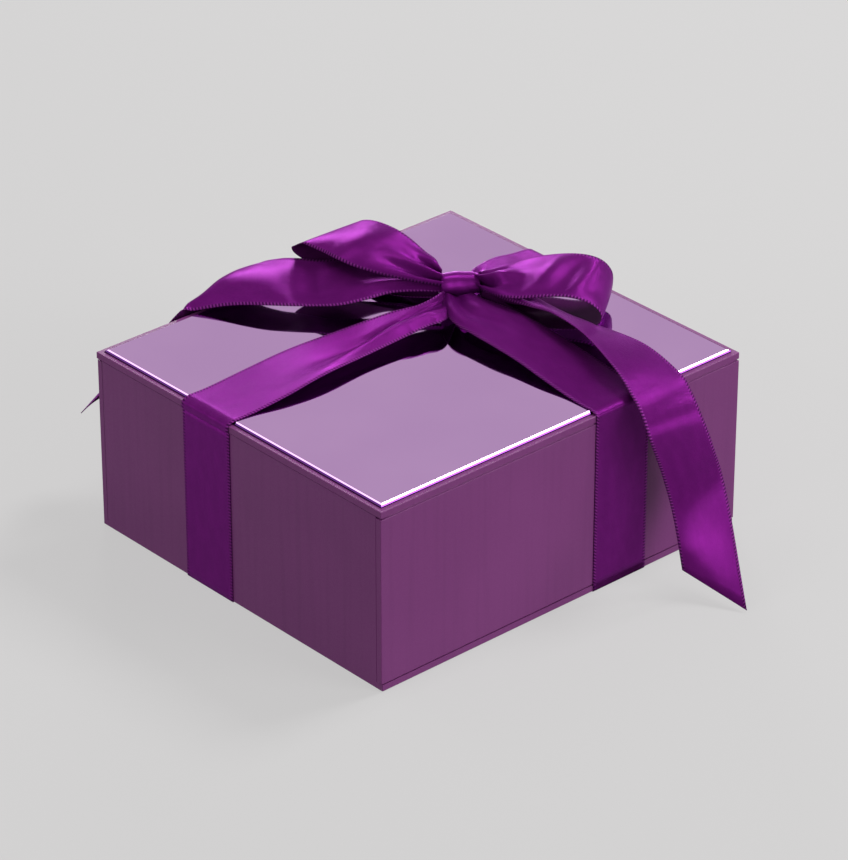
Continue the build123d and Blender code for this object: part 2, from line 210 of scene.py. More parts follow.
SELVEDGE = 1.35
SELVEDGE_FADE = 0.4
STITCH_PITCH = 1.25
FLOAT_PITCH = 0.24
BETWEEN_STITCHES = (0.045, 0.004, 0.055, 1)


def satin_cloth(name, colour, sheen_colour, stitch_colour, metallic, roughness, specular):
    """Satin whose long floats spread a highlight across the ribbon, with stitched selvedges."""
    finish = Finish(name)
    across, along = finish.cloth()
    plain_half = RIBBON_WIDTH / 2 - SELVEDGE
    selvedge = abs(across - RIBBON_WIDTH / 2).ramp(plain_half, plain_half + SELVEDGE_FADE)
    stitch = along.wave(STITCH_PITCH)
    cloud = finish.noise(finish.join(across * 0.05, along * 0.02), 6.0, detail=3.0)
    thread = finish.noise(finish.join(across * 4.0, along * 0.25), 3.0)
    lustre = thread.ramp(0.3, 0.75) * 0.6 + cloud.ramp(0.35, 0.75) * 0.4
    weave = finish.mix(lustre, (*colour, 1), (*sheen_colour, 1))
    sewn = finish.mix(stitch.ramp(0.35, 0.75), BETWEEN_STITCHES, (*stitch_colour, 1))
    floats = across.wave(FLOAT_PITCH, 3.0) * 0.7 + thread * 0.12
    height = floats * (1 - selvedge) + stitch * selvedge
    return finish.surface(
        Base_Color=finish.mix(selvedge * 0.9, weave, sewn),
        Metallic=metallic,
        Roughness=selvedge.ramp(0.0, 1.0, roughness, 0.6),
        Normal=finish.bump(height, 0.06 * MM, 0.9),
        Specular_IOR_Level=specular,
        Specular_Tint=(0.9, 0.25, 1.0, 1),
    )


# Painted shade: the plate is coloured dark below this height, over its upright edge and the lower part of its
# bevel
SHADED_EDGE_TOP = PLATE_TOP - 0.3
SHADED_EDGE_FADE = 0.08


def mirrored_plate():
    """A purple mirrored plate: a clear reflection, faintly clouded by handling, and painted shade along its
    lower edge, which keeps the lit line of its bevel thin.
    """
    finish = Finish("mirrored_plate")
    vector, (_, _, z) = finish.place()
    cloud = finish.noise(vector, 14.0, detail=3.0)
    smear = finish.noise(vector, 40.0, stretch=(1.0, 0.2, 1.0))
    mirror = finish.mix(cloud.ramp(0.3, 0.75), (0.60, 0.345, 0.675, 1), (0.64, 0.375, 0.71, 1))
    above_shaded_edge = z.ramp(SHADED_EDGE_TOP * MM, (SHADED_EDGE_TOP + SHADED_EDGE_FADE) * MM)
    return finish.surface(
        # Painted shade: a dark colour below the edge height, which stands in for shade on the lower bevel
        Base_Color=finish.mix(above_shaded_edge, (0.05, 0.012, 0.085, 1), mirror),
        Metallic=1.0,
        Roughness=smear.ramp(0.35, 0.75, 0.035, 0.07),
    )


def plain_card(name, colour, grain_colour, roughness, grain, metallic=0.0):
    """Board or card with a fibrous grain."""
    finish = Finish(name)
    vector, _ = finish.place()
    fibre = finish.noise(vector, grain, detail=3.0, stretch=(1.0, 0.35, 1.0))
    return finish.surface(
        Base_Color=finish.mix(fibre.ramp(0.3, 0.7), (*colour, 1.0), (*grain_colour, 1.0)),
        Metallic=metallic,
        Roughness=fibre.ramp(0.2, 0.8, roughness - 0.08, roughness + 0.08),
        Normal=finish.bump(fibre, 0.1 * MM, 0.4),
    )


def plated_metal(name, colour, roughness):
    """Plated metal with a fine, uneven polish."""
    finish = Finish(name)
    vector, _ = finish.place()
    polish = finish.noise(vector, 500.0)
    return finish.surface(
        Base_Color=(*colour, 1.0),
        Metallic=1.0,
        Roughness=polish.ramp(0.2, 0.8, roughness, roughness + 0.12),
        Normal=finish.bump(polish, 0.05 * MM, 0.3),
    )


PLUM = wrapping_paper(
    "plum_paper",
    colour=(0.205, 0.040, 0.190),
    streak_colour=(0.135, 0.020, 0.128),
    streaks=0.16,
    roughness=0.48,
)
LINING = wrapping_paper(
    "lining_paper",
    colour=(0.230, 0.085, 0.225),
    streak_colour=(0.190, 0.065, 0.185),
    streaks=0.2,
    roughness=0.55,
)
SATIN = satin_cloth(
    "satin_ribbon",
    colour=(0.120, 0.006, 0.135),
    sheen_colour=(0.175, 0.010, 0.190),
    stitch_colour=(0.22, 0.03, 0.23),
    metallic=0.65,
    roughness=0.28,
    specular=0.12,
)
# The ribbon's dull back: duller than the front, and darker than the front's dye as painted shade on
# undersides and in the loops
SHADED_SATIN_BACK = satin_cloth(
    "satin_ribbon_back_shaded",
    colour=(0.050, 0.004, 0.054),
    sheen_colour=(0.072, 0.006, 0.076),
    stitch_colour=(0.10, 0.01, 0.11),
    metallic=0.0,
    roughness=0.85,
    specular=0.03,
)
PLATE = mirrored_plate()
BOARD = plain_card("greyboard", (0.30, 0.28, 0.25), (0.42, 0.40, 0.36), roughness=0.8, grain=900.0)
CARD = plain_card(
    "insert_card",
    colour=(0.42, 0.27, 0.10),
    grain_colour=(0.52, 0.36, 0.15),
    roughness=0.42,
    grain=500.0,
    metallic=0.55,
)
PAD = plain_card("pad_paper", (0.36, 0.20, 0.37), (0.42, 0.26, 0.43), roughness=0.5, grain=300.0)
MAGNET = plated_metal("magnet_nickel", (0.60, 0.58, 0.54), 0.22)
STEEL = plated_metal("steel_disc", (0.50, 0.50, 0.51), 0.34)

SLOT_FINISHES = {
    "plum_paper": PLUM,
    "lining_paper": LINING,
    "satin_ribbon": SATIN,
    "mirror_plate": PLATE,
    "greyboard": BOARD,
    "insert_card": CARD,
    "pad_paper": PAD,
    "magnet_nickel": MAGNET,
    "steel_disc": STEEL,
}
for subpart in frame["record"]["subparts"]:
    node = frame["nodes"][subpart["node"]]
    node.data.materials.clear()
    node.data.materials.append(SLOT_FINISHES[subpart["material_slot"]])


# The ribbon. A length of ribbon is laid from rows. Each row holds its places from one edge of the ribbon
# to the other, then its curl, which is how far its middle stands off them, and its pleat, which is how
# much of the width that it has lost is taken up in pleats

ACROSS_CUTS = 28
CUTS_PER_ROW = 8
LENGTH_CUTS = 100

# Where the ribbon lies, and the two edges of each band
STANDOFF = 0.25
SURFACE = PLATE_TOP + 0.3
SIDE_FACE = SIDE + STANDOFF
FRONT_FACE = HALF_DEPTH + STANDOFF
FRONT_BAND = (14.3, 39.5)
BACK_BAND = (14.5, 39.5)
LEFT_BAND = (2.9, 27.9)
RIGHT_BAND = (6.4, 31.3)
BAND_GAP = 0.1
BAND_HEIGHTS = (ARM_END - BAND_GAP, 45.0, 22.0, 0.4)

# How a band rounds the lid's edge: where it leaves the plate, passes the corner and meets the face
PLATE_LEFT_AT, PLATE_SINK = 2.9, 0.1
CORNER_IN, CORNER_RISE = 0.3, 0.35
FACE_SLACK, FACE_MET_AT = 0.05, 0.7


def curve_at(points, share):
    """A point on the smooth curve through the given points, a share of the way along."""
    span = share * (len(points) - 1)
    number = min(int(span), len(points) - 2)
    part = span - number
    first, second = points[number], points[number + 1]
    before = points[number - 1] if number else first * 2 - second
    after = points[number + 2] if number + 2 < len(points) else second * 2 - first
    square, cube = part * part, part * part * part
    return (
        before * (-part + 2 * square - cube)
        + first * (2 - 5 * square + 3 * cube)
        + second * (part + 4 * square - 3 * cube)
        + after * (cube - square)
    ) / 2


def new_piece(name, mesh_maker, finish):
    """An object at the origin from a bmesh that mesh_maker shapes."""
    mesh = bmesh.new()
    mesh_maker(mesh)
    data = bpy.data.meshes.new(name)
    mesh.to_mesh(data)
    mesh.free()
    for face in data.polygons:
        face.use_smooth = True
    piece = bpy.data.objects.new(name, data)
    bpy.context.scene.collection.objects.link(piece)
    data.materials.append(finish)
    return piece


def thicken(piece, thickness, offset=0.0):
    """Gives a sheet its thickness, about its middle unless an offset moves it."""
    layer = piece.modifiers.new("thickness", "SOLIDIFY")
    layer.thickness = thickness * MM
    layer.offset = offset
    return layer


def lay_ribbon(name, rows, folds=2.0, phase=0.0, outer=1):
    """A length of satin ribbon along its rows, with its own map and its dull back on the inner side, darkened
    there as painted shade.
    """
    lines = [[Vector(place) for place in line] for line in zip(*(row[:-2] for row in rows))]
    shapes = [Vector((row[-2], row[-1], 0)) for row in rows]
    cuts = CUTS_PER_ROW * (len(rows) - 1)
    step = 0.5 / cuts

    def spot(along, across):
        here = [curve_at(line, along) for line in lines]
        ahead, behind = min(along + step, 1.0), max(along - step, 0.0)
        run = sum((curve_at(line, ahead) - curve_at(line, behind) for line in lines), Vector())
        normal = (here[-1] - here[0]).cross(run).normalized() * outer
        curl, pleat, _ = curve_at(shapes, along)
        width = sum((second - first).length for first, second in zip(here, here[1:]))
        lost = max(0.0, RIBBON_WIDTH**2 - width**2) ** 0.5
        bowed = curl * (1 - (2 * across - 1) ** 2)
        pleat_depth = max(0.0, pleat) * lost / (4 * folds) * sin(pi * across) ** 0.3
        pleated = pleat_depth * sin(tau * folds * across + phase)
        return curve_at(here, across) + normal * (bowed + pleated)

    def shape(mesh):
        chart = mesh.loops.layers.uv.new("cloth")
        bmesh.ops.create_grid(mesh, x_segments=ACROSS_CUTS, y_segments=cuts, size=0.5, calc_uvs=False)
        shares = {}
        for vert in mesh.verts:
            shares[vert] = (round((vert.co.y + 0.5) * cuts), round((vert.co.x + 0.5) * ACROSS_CUTS))
        spots, across_map, along_map = [], [], [[0.0] * (ACROSS_CUTS + 1)]
        for number in range(cuts + 1):
            along = number / cuts
            spots.append([spot(along, place / ACROSS_CUTS) for place in range(ACROSS_CUTS + 1)])
            lengths = [0.0]
            for first, second in zip(spots[-1], spots[-1][1:]):
                lengths.append(lengths[-1] + (second - first).length)
            across_map.append([length / lengths[-1] for length in lengths])
        for first, second in zip(spots, spots[1:]):
            steps = [(far - near).length / RIBBON_WIDTH for near, far in zip(first, second)]
            along_map.append([so_far + step for so_far, step in zip(along_map[-1], steps)])
        for face in mesh.faces:
            for loop in face.loops:
                along, across = shares[loop.vert]
                loop[chart].uv = (across_map[along][across], along_map[along][across])
        for vert, (along, across) in shares.items():
            vert.co = spots[along][across] * MM
        if outer < 0:
            bmesh.ops.reverse_faces(mesh, faces=mesh.faces)

    piece = new_piece(name, shape, SATIN)
    # The inner side gets the darker back finish, which is partly painted shade
    piece.data.materials.append(SHADED_SATIN_BACK)
    thicken(piece, RIBBON_THICKNESS * 0.7).material_offset = 1
    return piece


def ribbon_length(rows):
    """The length along the middle of a ribbon's rows, in metres."""
    middles = [(Vector(row[0]) + Vector(row[-3])) / 2 for row in rows]
    points = [curve_at(middles, number / LENGTH_CUTS) for number in range(LENGTH_CUTS + 1)]
    return sum((second - first).length for first, second in zip(points, points[1:])) * MM


def straight(near, far):
    """The five places of a row in a straight line from the near edge to the far edge."""
    near, far = Vector(near), Vector(far)
    return tuple(near.lerp(far, number / 4) for number in range(5))


def shaped(*rows):
    """Rows whose five places say all of their shape, so they have no curl and no pleat."""
    return [(*places, 0.0, 0.0) for places in rows]


def side_row(x, z, band):
    """A straight row over the lid or down a side, the width of a band that runs from left to right."""
    return ((x, band[0], z), (x, band[1], z), 0.0, 0.0)


def front_row(y, z, band):
    """A straight row over the lid or down a face, the width of a band that runs from front to back."""
    return ((band[0], y, z), (band[1], y, z), 0.0, 0.0)


def over_edge(half):
    """How a band rounds the lid's edge: how far out and how high, for a lid of this half width."""
    return [
        (half - PLATE_LEFT_AT, SURFACE - PLATE_SINK),
        (half - CORNER_IN, LID_TOP + CORNER_RISE),
        (half + STANDOFF + FACE_SLACK, LID_TOP - FACE_MET_AT),
        (half + STANDOFF, ARM_END),
    ]


def declare(piece, rows, held, rests_on, *nodes):
    """Hides the nodes that a length of ribbon shows. How it is held is not used."""
    ribbon_length(rows)
    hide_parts(*nodes)


# The arms and the bands
arm_left_rows = shaped(
    ((29.4, 11.0, 73.6), (29.6, 12.0, 76.0), (29.8, 13.6, 77.0), (30.6, 15.2, 78.6), (31.4, 17.0, 80.4)),
    ((15.3, 2.5, 77.0), (17.2, 6.2, 79.0), (20.8, 12.4, 76.6), (22.0, 14.2, 78.0), (23.2, 15.6, 79.2)),
    ((7.9, 3.4, 76.7), (10.4, 7.8, 79.6), (12.4, 13.8, 75.2), (13.6, 15.2, 76.8), (15.4, 16.4, 77.8)),
    ((2.2, 3.5, 76.4), (3.5, 8.5, 79.2), (5.6, 13.6, 74.8), (7.3, 15.5, 76.4), (9.5, 18.2, 77.5)),
    ((-2.9, 4.1, 75.7), (-3.7, 9.5, 78.4), (-1.2, 13.4, 74.4), (1.0, 15.8, 76.0), (3.6, 19.9, 77.2)),
    ((-20.4, 3.9, 75.1), (-21.0, 8.6, 76.5), (-18.6, 12.0, 73.9), (-17.6, 17.0, 75.0), (-16.6, 23.2, 76.0)),
    ((-41.6, 2.4, 75.4), (-41.0, 6.6, 75.6), (-40.0, 12.0, 74.4), (-38.8, 18.6, 74.6), (-37.6, 26.1, 74.8)),
    ((-58.4, 1.6, 73.9), (-57.8, 7.0, 74.1), (-57.2, 13.2, 73.9), (-56.6, 20.0, 73.6), (-56.2, 26.9, 73.4)),
    ((-72.4, 2.2, 72.3), (-72.4, 8.4, 72.5), (-72.4, 14.6, 72.5), (-72.4, 21.0, 72.4), (-72.4, 27.2, 72.2)),
    *[
        straight((x, near_y, z), (x, far_y, z))
        for x, z, near_y, far_y in (
            (-79.2, 71.9, 2.6, 27.6),
            (-81.8, 71.8, 2.7, 27.8),
            (-84.2, 70.9, 2.8, 27.9),
            (-84.8, 69.8, 2.8, 27.9),
            (-84.8, ARM_END, 2.9, 27.9),
        )
    ],
)
arm_left = lay_ribbon("ribbon_arm_left_cloth", arm_left_rows)
declare(arm_left, arm_left_rows, "laid", ["mirror_plate"], "ribbon_arm_left")
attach(arm_left, "lid")

band_left_rows = [side_row(-SIDE_FACE, z, LEFT_BAND) for z in BAND_HEIGHTS]
band_left = lay_ribbon("ribbon_left_cloth", band_left_rows)
declare(band_left, band_left_rows, "stretched", ["tray_wrap"], "ribbon_left")
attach(band_left, "box")

arm_front_rows = shaped(
    ((27.5, 16.5, 78.0), (26.7, 13.4, 79.4), (29.4, 12.4, 77.8), (30.5, 9.0, 79.4), (34.0, 9.2, 78.8)),
    ((20.8, 9.5, 77.4), (20.9, 5.6, 79.9), (25.2, 4.9, 77.6), (28.0, 1.9, 80.0), (34.0, 1.8, 79.0)),
    ((16.3, -0.4, 76.9), (18.5, -3.0, 79.0), (24.0, -3.2, 77.8), (28.4, -5.4, 79.8), (35.4, -5.4, 79.0)),
    ((15.7, -11.6, 76.6), (20.1, -13.2, 78.1), (25.6, -14.0, 78.2), (31.0, -15.4, 79.2), (36.9, -16.0, 78.4)),
    ((15.5, -23.0, 76.2), (20.6, -24.4, 77.2), (26.4, -25.6, 77.8), (32.2, -26.4, 77.8), (38.4, -26.6, 76.8)),
    ((15.6, -34.4, 75.2), (21.2, -35.4, 75.9), (27.2, -36.4, 76.2), (33.4, -36.8, 76.1), (39.2, -37.0, 75.2)),
    ((14.9, -47.4, 73.9), (21.0, -48.0, 74.3), (27.2, -48.4, 74.4), (33.4, -48.6, 74.3), (39.5, -48.8, 73.8)),
    ((14.6, -60.0, 72.4), (20.8, -60.0, 72.6), (27.1, -60.0, 72.7), (33.3, -60.0, 72.6), (39.6, -60.0, 72.4)),
    *[
        straight((FRONT_BAND[0], y, z), (FRONT_BAND[1], y, z))
        for y, z in (
            (-68.6, SURFACE),
            *[(-out, up) for out, up in over_edge(HALF_DEPTH)],
            (-FRONT_FACE, 60.0),
            (-FRONT_FACE, 42.0),
            (-FRONT_FACE, 22.0),
            (-FRONT_FACE, 3.0),
        )
    ],
)
arm_front = lay_ribbon("ribbon_front_cloth", arm_front_rows, outer=-1)
declare(arm_front, arm_front_rows, "laid", ["mirror_plate", "flap_cover"], "ribbon_arm_front", "ribbon_front")
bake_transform(arm_front)

arm_right_rows = [
    ((39.0, 9.0, 77.0), (41.0, 16.5, 78.5), 0.4, 0.9),
    ((44.5, 9.0, 77.2), (46.0, 22.5, 78.0), 1.2, 0.8),
    ((53.0, 8.0, 75.6), (54.5, 27.0, 76.4), 1.0, 0.4),
    ((64.0, 7.2, 73.6), (64.5, 30.2, 74.6), 0.6, 0.0),
    ((74.0, 6.6, SURFACE), (74.0, 31.2, 72.6), 0.2, 0.0),
    *[side_row(out, up, RIGHT_BAND) for out, up in over_edge(HALF_WIDTH)],
]
arm_right = lay_ribbon("ribbon_arm_right_cloth", arm_right_rows, folds=2.0, phase=1.0, outer=-1)
declare(arm_right, arm_right_rows, "laid", ["mirror_plate"], "ribbon_arm_right")
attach(arm_right, "lid")

band_right_rows = [side_row(SIDE_FACE, z, RIGHT_BAND) for z in BAND_HEIGHTS]
band_right = lay_ribbon("ribbon_right_cloth", band_right_rows, outer=-1)
declare(band_right, band_right_rows, "stretched", ["tray_wrap"], "ribbon_right")
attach(band_right, "box")

arm_back_rows = [
    ((31.0, 21.0, 77.0), (39.5, 20.0, 77.0), 0.4, 0.9),
    ((24.0, 29.0, 76.5), (38.5, 28.0, 77.2), 1.0, 0.8),
    ((18.0, 40.0, 74.8), (39.5, 39.0, 75.4), 0.8, 0.4),
    ((15.0, 52.0, 73.0), (39.6, 52.0, 73.4), 0.4, 0.0),
    front_row(63.0, SURFACE, BACK_BAND),
    *[front_row(out, up, BACK_BAND) for out, up in over_edge(HALF_DEPTH)],
    *[front_row(FRONT_FACE, z, BACK_BAND) for z in (55.0, 28.0, 0.5)],
]
arm_back = lay_ribbon("ribbon_back_cloth", arm_back_rows)
declare(arm_back, arm_back_rows, "laid", ["mirror_plate", "case_cover"], "ribbon_arm_back", "ribbon_back")
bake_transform(arm_back)

# The loops of the bow
loop_left_rows = [
    ((27.2, 16.8, 81.0), (30.6, 21.8, 84.0), 0.3, 0.9),
    ((20.8, 23.1, 82.2), (31.5, 25.5, 86.8), 0.8, 0.9),
    ((12.4, 31.5, 84.6), (31.4, 31.0, 88.0), 2.4, 0.6),
    ((5.8, 40.3, 87.0), (29.9, 36.8, 91.2), 3.4, 0.2),
    ((3.0, 47.3, 88.6), (27.8, 41.2, 93.8), 3.4, 0.0),
    ((2.9, 54.9, 88.6), (25.7, 46.8, 95.2), 2.4, 0.0),
    ((2.1, 60.7, 88.9), (24.0, 51.4, 95.4), 1.0, 0.0),
    ((1.6, 64.6, 88.8), (22.6, 54.8, 94.7), 0.2, 0.0),
    ((0.9, 67.5, 87.0), (21.9, 56.9, 93.4), 0.0, 0.0),
    ((0.3, 68.8, 85.9), (21.5, 57.7, 91.7), 0.0, 0.0),
    ((1.2, 68.2, 83.6), (22.1, 57.3, 90.0), 0.0, 0.0),
    ((4.0, 65.0, 80.6), (24.8, 54.6, 88.2), 0.3, 0.0),
    ((7.6, 56.1, 76.6), (28.0, 47.5, 84.6), 0.4, 0.0),
    ((12.5, 45.2, 74.4), (30.0, 37.5, 82.0), 0.3, 0.3),
    ((20.0, 32.0, 73.6), (31.5, 29.0, 80.6), 0.0, 0.7),
    ((27.5, 19.0, 75.6), (30.5, 22.5, 79.0), 0.0, 0.9),
]
loop_left = lay_ribbon("loop_left_cloth", loop_left_rows, folds=2.5, phase=0.4)
declare(loop_left, loop_left_rows, "gathered", ["knot"], "loop_left")
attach(loop_left, "lid")

loop_right_rows = [
    ((36.6, 8.0, 80.5), (41.0, 12.8, 83.2), 0.3, 0.9),
    ((34.8, 1.0, 81.6), (43.2, 9.0, 84.6), 1.2, 0.8),
    ((34.4, -5.2, 82.6), (48.0, 4.0, 87.2), 2.8, 0.5),
    ((36.3, -11.2, 83.6), (54.7, -1.2, 90.0), 1.4, 0.2),
    ((40.1, -16.4, 84.6), (62.2, -8.4, 91.6), 2.6, 0.0),
    ((44.4, -21.1, 85.4), (67.9, -14.4, 91.6), 0.4, 0.0),
    ((48.9, -25.8, 85.3), (72.4, -18.2, 89.2), 1.8, 0.0),
    ((53.3, -30.8, 83.6), (75.5, -19.8, 84.6), 0.6, 0.0),
    ((55.6, -34.8, 80.4), (75.8, -20.2, 79.8), 0.4, 0.0),
    ((54.6, -35.6, 77.0), (74.4, -20.0, 75.6), 0.2, 0.0),
    ((51.2, -32.0, 74.6), (71.0, -17.0, 73.6), 0.0, 0.0),
    ((45.8, -26.1, 73.6), (65.4, -11.8, 73.0), 0.0, 0.0),
    ((41.0, -18.8, 73.6), (57.5, -4.3, 74.4), 0.3, 0.2),
    ((38.4, -11.0, 74.4), (49.0, -0.4, 75.8), 0.3, 0.5),
    ((37.1, -1.5, 75.6), (44.0, 6.0, 76.6), 0.2, 0.8),
    ((36.8, 7.2, 76.8), (41.2, 12.0, 77.4), 0.0, 0.9),
]
loop_right = lay_ribbon("loop_right_cloth", loop_right_rows, folds=2.0, phase=0.9, outer=-1)
declare(loop_right, loop_right_rows, "gathered", ["knot"], "loop_right")
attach(loop_right, "lid")

# The tails
tail_left_rows = shaped(
    ((28.2, 16.0, 78.4), (28.4, 17.6, 80.2), (29.2, 18.8, 79.2), (29.8, 20.2, 80.8), (30.4, 21.4, 80.4)),
    ((21.5, 22.4, 78.6), (21.6, 25.4, 81.6), (25.0, 27.2, 80.2), (27.4, 29.6, 82.8), (30.2, 31.2, 82.2)),
    ((12.8, 28.1, 78.8), (12.6, 32.4, 82.2), (14.6, 37.0, 82.0), (17.0, 40.8, 84.6), (19.6, 45.4, 84.0)),
    ((3.7, 31.1, 78.2), (4.4, 36.6, 80.8), (6.8, 42.2, 82.4), (8.6, 47.4, 84.0), (10.8, 52.6, 83.8)),
    ((-5.2, 35.2, 77.4), (-3.0, 40.2, 79.2), (0.0, 45.6, 80.9), (3.2, 50.8, 82.6), (6.6, 56.0, 83.6)),
    ((-11.4, 40.8, 77.0), (-8.8, 45.2, 77.6), (-5.4, 49.8, 78.6), (-1.2, 54.6, 80.8), (3.6, 60.2, 83.2)),
    ((-17.8, 47.2, 76.8), (-14.6, 51.6, 78.6), (-10.6, 56.0, 80.2), (-5.8, 60.6, 81.8), (0.0, 65.8, 82.8)),
    ((-23.6, 53.6, 76.6), (-20.0, 58.2, 79.2), (-15.4, 62.6, 81.4), (-10.0, 66.6, 82.4), (-4.2, 70.6, 82.2)),
    ((-28.2, 59.8, 76.0), (-24.2, 65.0, 79.1), (-19.6, 69.6, 81.4), (-14.2, 73.6, 81.8), (-9.8, 76.4, 79.6)),
    ((-32.4, 65.4, 75.0), (-28.4, 71.0, 78.4), (-23.8, 75.4, 80.4), (-19.2, 78.4, 78.6), (-16.4, 79.8, 72.4)),
    ((-36.6, 70.4, 73.6), (-33.2, 75.0, 77.0), (-28.8, 77.8, 77.8), (-24.8, 79.2, 73.4), (-22.6, 80.6, 66.6)),
    ((-41.2, 74.8, 72.3), (-39.0, 77.6, 74.7), (-35.8, 78.8, 71.2), (-32.0, 79.8, 65.6), (-29.0, 81.4, 60.0)),
    ((-44.1, 76.2, 73.2), (-41.9, 78.1, 72.8), (-38.9, 79.2, 67.4), (-35.5, 80.4, 61.2), (-32.6, 82.0, 55.7)),
    ((-47.0, 77.6, 71.2), (-44.8, 78.6, 66.8), (-42.0, 79.6, 61.6), (-39.0, 81.0, 56.4), (-36.2, 82.6, 51.4)),
    straight((-58.0, 81.0, 60.5), (-51.0, 85.5, 37.4)),
    straight((-66.5, 82.8, 54.2), (-53.5, 91.0, 35.0)),
    straight((-84.4, 86.6, 41.4), (-63.9, 99.8, 38.8)),
)
tail_left = lay_ribbon("left_tail_cloth", tail_left_rows)
tail_left_nodes = ("left_tail_over_lid", "left_tail_hanging")
declare(tail_left, tail_left_rows, "hung", ["knot", "mirror_plate"], *tail_left_nodes)
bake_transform(tail_left)

tail_right_rows = [
    ((37.5, 8.0, 79.0), (41.0, 12.0, 80.5), 0.3, 0.8),
    ((37.4, -5.9, 80.4), (46.2, 1.4, 78.0), 0.8, 0.8),
    ((38.0, -17.3, 82.0), (50.1, -6.0, 76.6), 0.8, 0.5),
    ((38.2, -29.1, 83.8), (53.0, -14.0, 74.8), 0.8, 0.2),
    ((37.6, -45.5, 82.2), (55.6, -30.3, 74.6), 0.8, 0.0),
    ((32.8, -65.8, 78.4), (55.6, -56.9, 76.8), 0.8, 0.0),
    ((29.7, -77.0, 74.0), (55.0, -75.8, 72.8), 0.6, 0.0),
    ((27.9, -84.3, 69.6), (53.7, -82.7, 69.2), 0.6, 0.0),
    ((27.0, -89.5, 62.2), (52.2, -89.1, 63.9), 0.8, 0.0),
    ((32.8, -90.2, 46.7), (54.3, -93.3, 52.3), 0.8, 0.0),
    ((36.9, -92.1, 29.8), (57.6, -98.0, 32.7), 0.2, 0.0),
    ((37.0, -97.6, 9.6), (44.9, -122.0, 0.8), 0.0, 0.0),
]
tail_right = lay_ribbon("right_tail_cloth", tail_right_rows, folds=1.5, phase=1.0, outer=-1)
tail_right_nodes = ("right_tail_over_lid", "right_tail_hanging")
declare(tail_right, tail_right_rows, "hung", ["knot", "lid_cover"], *tail_right_nodes)
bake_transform(tail_right)

# The knot: ribbon drawn tight round the middle of the bow, with creases that run round it
KNOT_CENTRE = Vector((33.9, 15.0, PLATE_TOP + 8.4))
KNOT_LENGTH = 14.0
KNOT_RADIUS = 4.0
KNOT_SWELL = 0.75
KNOT_CREASE = 0.07
KNOT_FLARE = 0.30
KNOT_TURN = radians(-38.3)


def wind_knot(mesh):
    """A creased barrel of ribbon, mapped to the middle of its width, so no selvedge shows."""
    chart = mesh.loops.layers.uv.new("cloth")
    bmesh.ops.create_grid(mesh, x_segments=24, y_segments=64, size=0.5, calc_uvs=False)
    shares = {vert: (vert.co.x + 0.5, vert.co.y + 0.5) for vert in mesh.verts}
    for face in mesh.faces:
        for loop in face.loops:
            across, round_share = shares[loop.vert]
            loop[chart].uv = (0.12 + across * 0.76, round_share * 1.2)
    turn = Matrix.Rotation(KNOT_TURN, 3, "Z")
    for vert, (across, round_share) in shares.items():
        angle = tau * round_share
        along = (across - 0.5) * KNOT_LENGTH
        waist = 1 - (2 * across - 1) ** 2
        crease = KNOT_CREASE * sin(tau * across * 2.6 + 1.4 * sin(angle + 0.7)) * waist**0.5
        flare = KNOT_FLARE * abs(2 * across - 1) ** 6
        radius = KNOT_RADIUS + KNOT_SWELL * waist + crease - flare
        off_round = 1 + 0.05 * sin(2 * angle + 0.5)
        spot = Vector((along, cos(angle) * radius * off_round, sin(angle) * radius))
        vert.co = (KNOT_CENTRE + turn @ spot) * MM
    bmesh.ops.remove_doubles(mesh, verts=mesh.verts, dist=0.01 * MM)
    bmesh.ops.recalc_face_normals(mesh, faces=mesh.faces)


knot = new_piece("knot_cloth", wind_knot, SATIN)
thicken(knot, RIBBON_THICKNESS, offset=-1.0)
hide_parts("knot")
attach(knot, "lid")

# The padded panel under the lid, crowned below and drawn in at its seam
PAD_LOW, PAD_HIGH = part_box("lid_pad")
PAD_CORNER = 6.0
PAD_RIM = 1.5
PAD_CUTS = 12
PAD_DRAWN_IN = 1.2
PAD_RIPPLE = 0.25
PAD_LONG_EDGE = 20.0


def stuff_pad(mesh):
    """A rounded panel, its lower face drawn up towards its seam and faintly rippled."""
    middle, size = (PAD_LOW + PAD_HIGH) / 2, PAD_HIGH - PAD_LOW
    rounded = {"profile": 0.5, "affect": "EDGES", "material": -1}
    bmesh.ops.create_cube(mesh, size=1.0)
    bmesh.ops.scale(mesh, vec=size, verts=mesh.verts)
    sides = [edge for edge in mesh.edges if abs(edge.verts[0].co.z - edge.verts[1].co.z) > size.z / 2]
    bmesh.ops.bevel(mesh, geom=sides, offset=PAD_CORNER * MM, segments=6, **rounded)
    rim = [edge for edge in mesh.edges if abs(edge.verts[0].co.z - edge.verts[1].co.z) < size.z / 100]
    bmesh.ops.bevel(mesh, geom=rim, offset=PAD_RIM * MM, segments=4, **rounded)
    bmesh.ops.triangulate(mesh, faces=[face for face in mesh.faces if len(face.verts) > 4])
    long_edges = [edge for edge in mesh.edges if edge.calc_length() > PAD_LONG_EDGE * MM]
    bmesh.ops.subdivide_edges(mesh, edges=long_edges, cuts=PAD_CUTS, use_grid_fill=True)
    for vert in mesh.verts:
        x, y = vert.co.x / size.x * 2, vert.co.y / size.y * 2
        crown = (1 - x**4) * (1 - y**4)
        if vert.co.z < 0:
            ripple = noise.noise(vert.co * 60) * PAD_RIPPLE
            vert.co.z += ((1 - crown) * PAD_DRAWN_IN + ripple * crown) * MM
        vert.co += middle
    bmesh.ops.recalc_face_normals(mesh, faces=mesh.faces)


pad = new_piece("lid_pad_padded", stuff_pad, PAD)
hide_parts("lid_pad")
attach(pad, "lid")

